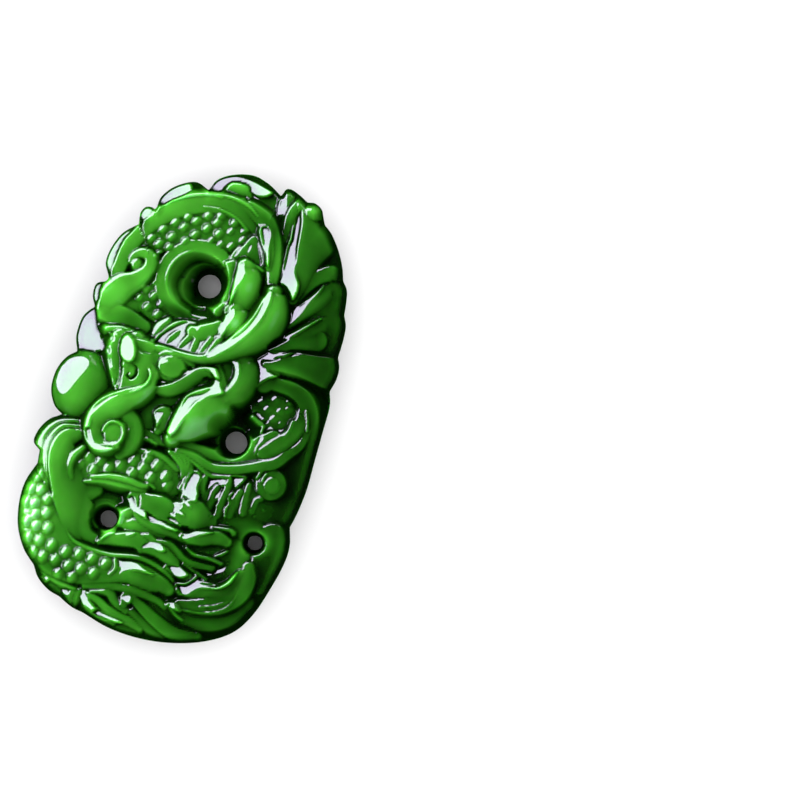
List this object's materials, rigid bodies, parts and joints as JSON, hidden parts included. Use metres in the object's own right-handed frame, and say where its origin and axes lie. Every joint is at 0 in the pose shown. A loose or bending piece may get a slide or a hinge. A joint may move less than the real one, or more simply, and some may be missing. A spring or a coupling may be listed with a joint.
{
  "type": "carved stone pendant",
  "caption": "Oval pendant cut from one piece of dark green stone: a dragon's head, coils, fins, clouds and a pearl in high relief, a flat back, and a drilled hole to hang it by.",
  "frame": {"origin": "under the middle of the outline, on the plane of the flat back, which the pendant lies on", "axes": "+Y up the pendant to the end with the hanging hole, +X to the right as seen from the front, +Z out of the carved front"},
  "size_m": [0.0348, 0.06, 0.0124],
  "materials": {
    "green_stone": "polished"
  },
  "bodies": {
    "root": {"carved_stone": "green_stone"}
  },
  "joints": []
}
